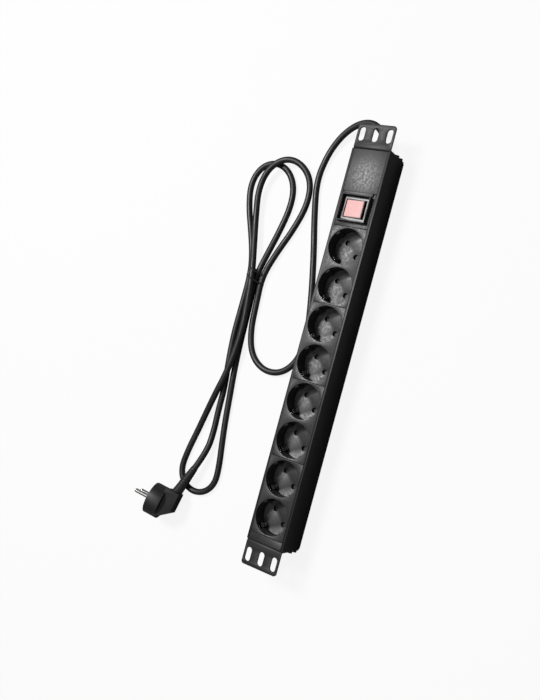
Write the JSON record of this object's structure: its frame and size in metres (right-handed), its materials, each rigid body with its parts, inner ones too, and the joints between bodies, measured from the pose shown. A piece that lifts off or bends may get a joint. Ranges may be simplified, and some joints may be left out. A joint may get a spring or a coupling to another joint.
{
  "type": "rack power strip",
  "caption": "Black rack power strip: round earthed sockets set on the diagonal, a lit rocker switch in a raised guard, folded rack ears, and a tied mains cord with an angled plug.",
  "frame": {"origin": "middle of the flat back, on the surface it lies on", "axes": "+X along the strip to the end the cord leaves, +Y towards the tied cord, +Z out of the front face"},
  "size_m": [0.4953, 0.211, 0.046],
  "materials": {
    "housing_profile": "black anodised extrusion, satin",
    "cable_end_bracket": "black powder-coated folded steel",
    "far_end_bracket": "black powder-coated folded steel",
    "cable_end_screws": "blackened pan-head screws",
    "far_end_screws": "blackened pan-head screws",
    "twin_socket_1": "black polyamide, fine grain",
    "twin_socket_2": "black polyamide, fine grain",
    "twin_socket_3": "black polyamide, fine grain",
    "twin_socket_4": "black polyamide, fine grain",
    "end_filler": "black polyamide, fine grain",
    "blank_cover": "black polyamide, fine grain",
    "shutter_1": "black plastic shutter",
    "shutter_2": "black plastic shutter",
    "shutter_3": "black plastic shutter",
    "shutter_4": "black plastic shutter",
    "shutter_5": "black plastic shutter",
    "shutter_6": "black plastic shutter",
    "shutter_7": "black plastic shutter",
    "shutter_8": "black plastic shutter",
    "shutter_springs": "spring steel",
    "twin_back_1": "insulating plastic tray",
    "twin_back_2": "insulating plastic tray",
    "twin_back_3": "insulating plastic tray",
    "twin_back_4": "insulating plastic tray",
    "live_busbar": "brass strip",
    "neutral_busbar": "brass strip",
    "earth_bar": "brass strip",
    "earth_clips": "nickel-plated spring strip",
    "switch_plate": "black polyamide, fine grain",
    "switch_guard": "black plastic collar",
    "switch_case": "black switch body",
    "switch_rocker": "dark rocker frame",
    "rocker_lens": "lit pink-red translucent lens",
    "switch_lamp": "small neon lamp",
    "switch_contacts": "contact bars",
    "switch_terminals": "tinned push-on blades",
    "gland_bush": "black strain-relief bush",
    "gland_nut": "black nut",
    "terminal_block": "natural white polyamide",
    "terminal_screws": "zinc-plated screws",
    "earth_stud": "zinc-plated stud and nut",
    "cord_cores": "insulated cores",
    "switch_wires": "insulated cores",
    "earth_wire": "green and yellow core",
    "power_cord": "black round PVC cord",
    "cord_tie": "black tie band",
    "plug_body": "black moulded plug",
    "plug_pins": "nickel-plated pins",
    "plug_earth_straps": "nickel-plated straps",
    "plug_sleeve": "black moulded sleeve"
  },
  "bodies": {
    "strip": {"housing_profile": "housing_profile", "cable_end_bracket": "cable_end_bracket", "far_end_bracket": "far_end_bracket", "cable_end_screws": "cable_end_screws", "far_end_screws": "far_end_screws", "twin_socket_1": "twin_socket_1", "twin_socket_2": "twin_socket_2", "twin_socket_3": "twin_socket_3", "twin_socket_4": "twin_socket_4", "end_filler": "end_filler", "blank_cover": "blank_cover", "shutter_springs": "shutter_springs", "twin_back_1": "twin_back_1", "twin_back_2": "twin_back_2", "twin_back_3": "twin_back_3", "twin_back_4": "twin_back_4", "live_busbar": "live_busbar", "neutral_busbar": "neutral_busbar", "earth_bar": "earth_bar", "earth_clips": "earth_clips", "switch_plate": "switch_plate", "switch_guard": "switch_guard", "switch_case": "switch_case", "switch_lamp": "switch_lamp", "switch_contacts": "switch_contacts", "switch_terminals": "switch_terminals", "gland_bush": "gland_bush", "gland_nut": "gland_nut", "terminal_block": "terminal_block", "terminal_screws": "terminal_screws", "earth_stud": "earth_stud", "cord_cores": "cord_cores", "switch_wires": "switch_wires", "earth_wire": "earth_wire", "power_cord": "power_cord", "cord_tie": "cord_tie", "plug_body": "plug_body", "plug_pins": "plug_pins", "plug_earth_straps": "plug_earth_straps", "plug_sleeve": "plug_sleeve"},
    "rocker": {"switch_rocker": "switch_rocker", "rocker_lens": "rocker_lens"},
    "shutter_1": {"shutter_1": "shutter_1"},
    "shutter_2": {"shutter_2": "shutter_2"},
    "shutter_3": {"shutter_3": "shutter_3"},
    "shutter_4": {"shutter_4": "shutter_4"},
    "shutter_5": {"shutter_5": "shutter_5"},
    "shutter_6": {"shutter_6": "shutter_6"},
    "shutter_7": {"shutter_7": "shutter_7"},
    "shutter_8": {"shutter_8": "shutter_8"}
  },
  "joints": [
    {"name": "rocker_tilt", "type": "hinge", "parent": "strip", "child": "rocker", "pos_m": [0.1496, 0, 0.036], "axis": [1, 0, 0], "range_deg": [0, 14]},
    {"name": "shutter_1_turn", "type": "hinge", "parent": "strip", "child": "shutter_1", "pos_m": [-0.1845, 0, 0.01835], "axis": [0, 0, -1], "range_deg": [0, 45], "stiffness_Nm_per_rad": 0.001, "springref_deg": -11.46},
    {"name": "shutter_2_turn", "type": "hinge", "parent": "strip", "child": "shutter_2", "pos_m": [-0.1425, 0, 0.01835], "axis": [0, 0, -1], "range_deg": [0, 45], "stiffness_Nm_per_rad": 0.001, "springref_deg": -11.46},
    {"name": "shutter_3_turn", "type": "hinge", "parent": "strip", "child": "shutter_3", "pos_m": [-0.1005, 0, 0.01835], "axis": [0, 0, -1], "range_deg": [0, 45], "stiffness_Nm_per_rad": 0.001, "springref_deg": -11.46},
    {"name": "shutter_4_turn", "type": "hinge", "parent": "strip", "child": "shutter_4", "pos_m": [-0.0585, 0, 0.01835], "axis": [0, 0, -1], "range_deg": [0, 45], "stiffness_Nm_per_rad": 0.001, "springref_deg": -11.46},
    {"name": "shutter_5_turn", "type": "hinge", "parent": "strip", "child": "shutter_5", "pos_m": [-0.0165, 0, 0.01835], "axis": [0, 0, -1], "range_deg": [0, 45], "stiffness_Nm_per_rad": 0.001, "springref_deg": -11.46},
    {"name": "shutter_6_turn", "type": "hinge", "parent": "strip", "child": "shutter_6", "pos_m": [0.0255, 0, 0.01835], "axis": [0, 0, -1], "range_deg": [0, 45], "stiffness_Nm_per_rad": 0.001, "springref_deg": -11.46},
    {"name": "shutter_7_turn", "type": "hinge", "parent": "strip", "child": "shutter_7", "pos_m": [0.0675, 0, 0.01835], "axis": [0, 0, -1], "range_deg": [0, 45], "stiffness_Nm_per_rad": 0.001, "springref_deg": -11.46},
    {"name": "shutter_8_turn", "type": "hinge", "parent": "strip", "child": "shutter_8", "pos_m": [0.1095, 0, 0.01835], "axis": [0, 0, -1], "range_deg": [0, 45], "stiffness_Nm_per_rad": 0.001, "springref_deg": -11.46}
  ]
}
